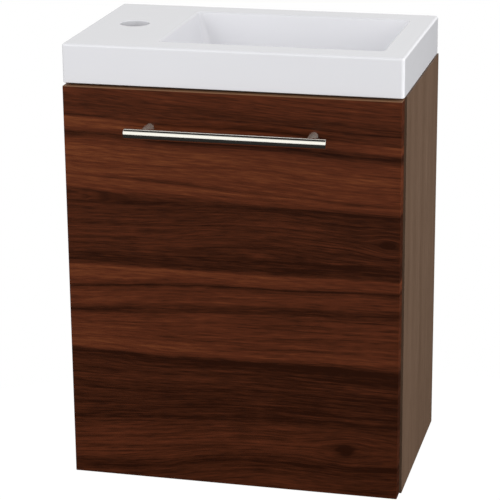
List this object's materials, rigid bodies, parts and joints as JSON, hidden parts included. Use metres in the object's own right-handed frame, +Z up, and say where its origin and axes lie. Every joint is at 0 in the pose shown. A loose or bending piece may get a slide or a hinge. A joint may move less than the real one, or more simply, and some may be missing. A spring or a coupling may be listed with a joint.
{
  "type": "wall-hung vanity unit with basin",
  "caption": "Narrow wall-hung washbasin cabinet: one-piece white basin with tap deck and drafted bowl over a walnut carcass with one hinged door and a bar handle.",
  "frame": {"origin": "on the wall plane, at the middle of the four screw holes of the two wall plates", "axes": "+X right seen from the front, +Y back into the wall, +Z up; the door faces -Y"},
  "size_m": [0.4, 0.288, 0.5288],
  "materials": {
    "basin_white": "high gloss",
    "sealant": "soft satin",
    "walnut_front": "dark walnut, horizontal grain, satin",
    "walnut_carcass": "walnut, vertical grain, satin",
    "satin_steel": "satin",
    "zinc_steel": "zinc plated",
    "nickel_steel": "nickel plated",
    "beech": "plain",
    "white_plastic": "moulded",
    "clear_rubber": "clear"
  },
  "bodies": {
    "carcass": {"basin": "basin_white", "basin_seal": "sealant", "left_side_panel": "walnut_carcass", "right_side_panel": "walnut_carcass", "bottom_panel": "walnut_carcass", "front_rail": "walnut_carcass", "rear_rail": "walnut_carcass", "lower_rear_rail": "walnut_carcass", "dowels": "beech", "cam_bolts": "zinc_steel", "cam_locks": "zinc_steel", "hinge_arm_pins": "zinc_steel", "hinge_plate_screws": "zinc_steel", "hinge_adjusters": "zinc_steel", "hanger_screws": "zinc_steel", "upper_hinge_arm": "nickel_steel", "upper_hinge_plate": "nickel_steel", "upper_hinge_spring": "nickel_steel", "lower_hinge_arm": "nickel_steel", "lower_hinge_plate": "nickel_steel", "lower_hinge_spring": "nickel_steel", "left_wall_plate": "zinc_steel", "left_hanger_hook": "zinc_steel", "left_hanger_housing": "white_plastic", "right_wall_plate": "zinc_steel", "right_hanger_hook": "zinc_steel", "right_hanger_housing": "white_plastic"},
    "outer_links": {"upper_hinge_outer_link": "nickel_steel", "lower_hinge_outer_link": "nickel_steel"},
    "door": {"door": "walnut_front", "door_buffers": "clear_rubber", "handle_bar": "satin_steel", "handle_posts": "satin_steel", "handle_screws": "zinc_steel", "upper_hinge_cup": "nickel_steel", "lower_hinge_cup": "nickel_steel", "hinge_cup_pins": "zinc_steel", "hinge_cup_screws": "zinc_steel"},
    "inner_links": {"upper_hinge_inner_link": "nickel_steel", "lower_hinge_inner_link": "nickel_steel"}
  },
  "joints": [
    {"name": "outer_link_swing", "type": "hinge", "parent": "carcass", "child": "outer_links", "pos_m": [-0.161, -0.221, 0], "axis": [0, 0, 1], "range_deg": [0, 29.1]},
    {"name": "door_swing", "type": "hinge", "parent": "outer_links", "child": "door", "pos_m": [-0.1884, -0.233, 0], "axis": [0, 0, -1], "range_deg": [0, 124.05]},
    {"name": "inner_link_swing", "type": "hinge", "parent": "door", "child": "inner_links", "pos_m": [-0.1865, -0.2374, 0], "axis": [0, 0, 1], "range_deg": [0, 126.73]}
  ],
  "couplings": [
    {"joint": "outer_link_swing", "follows": "door_swing", "ratio": 0.23419},
    {"joint": "inner_link_swing", "follows": "door_swing", "ratio": 1.0212}
  ]
}
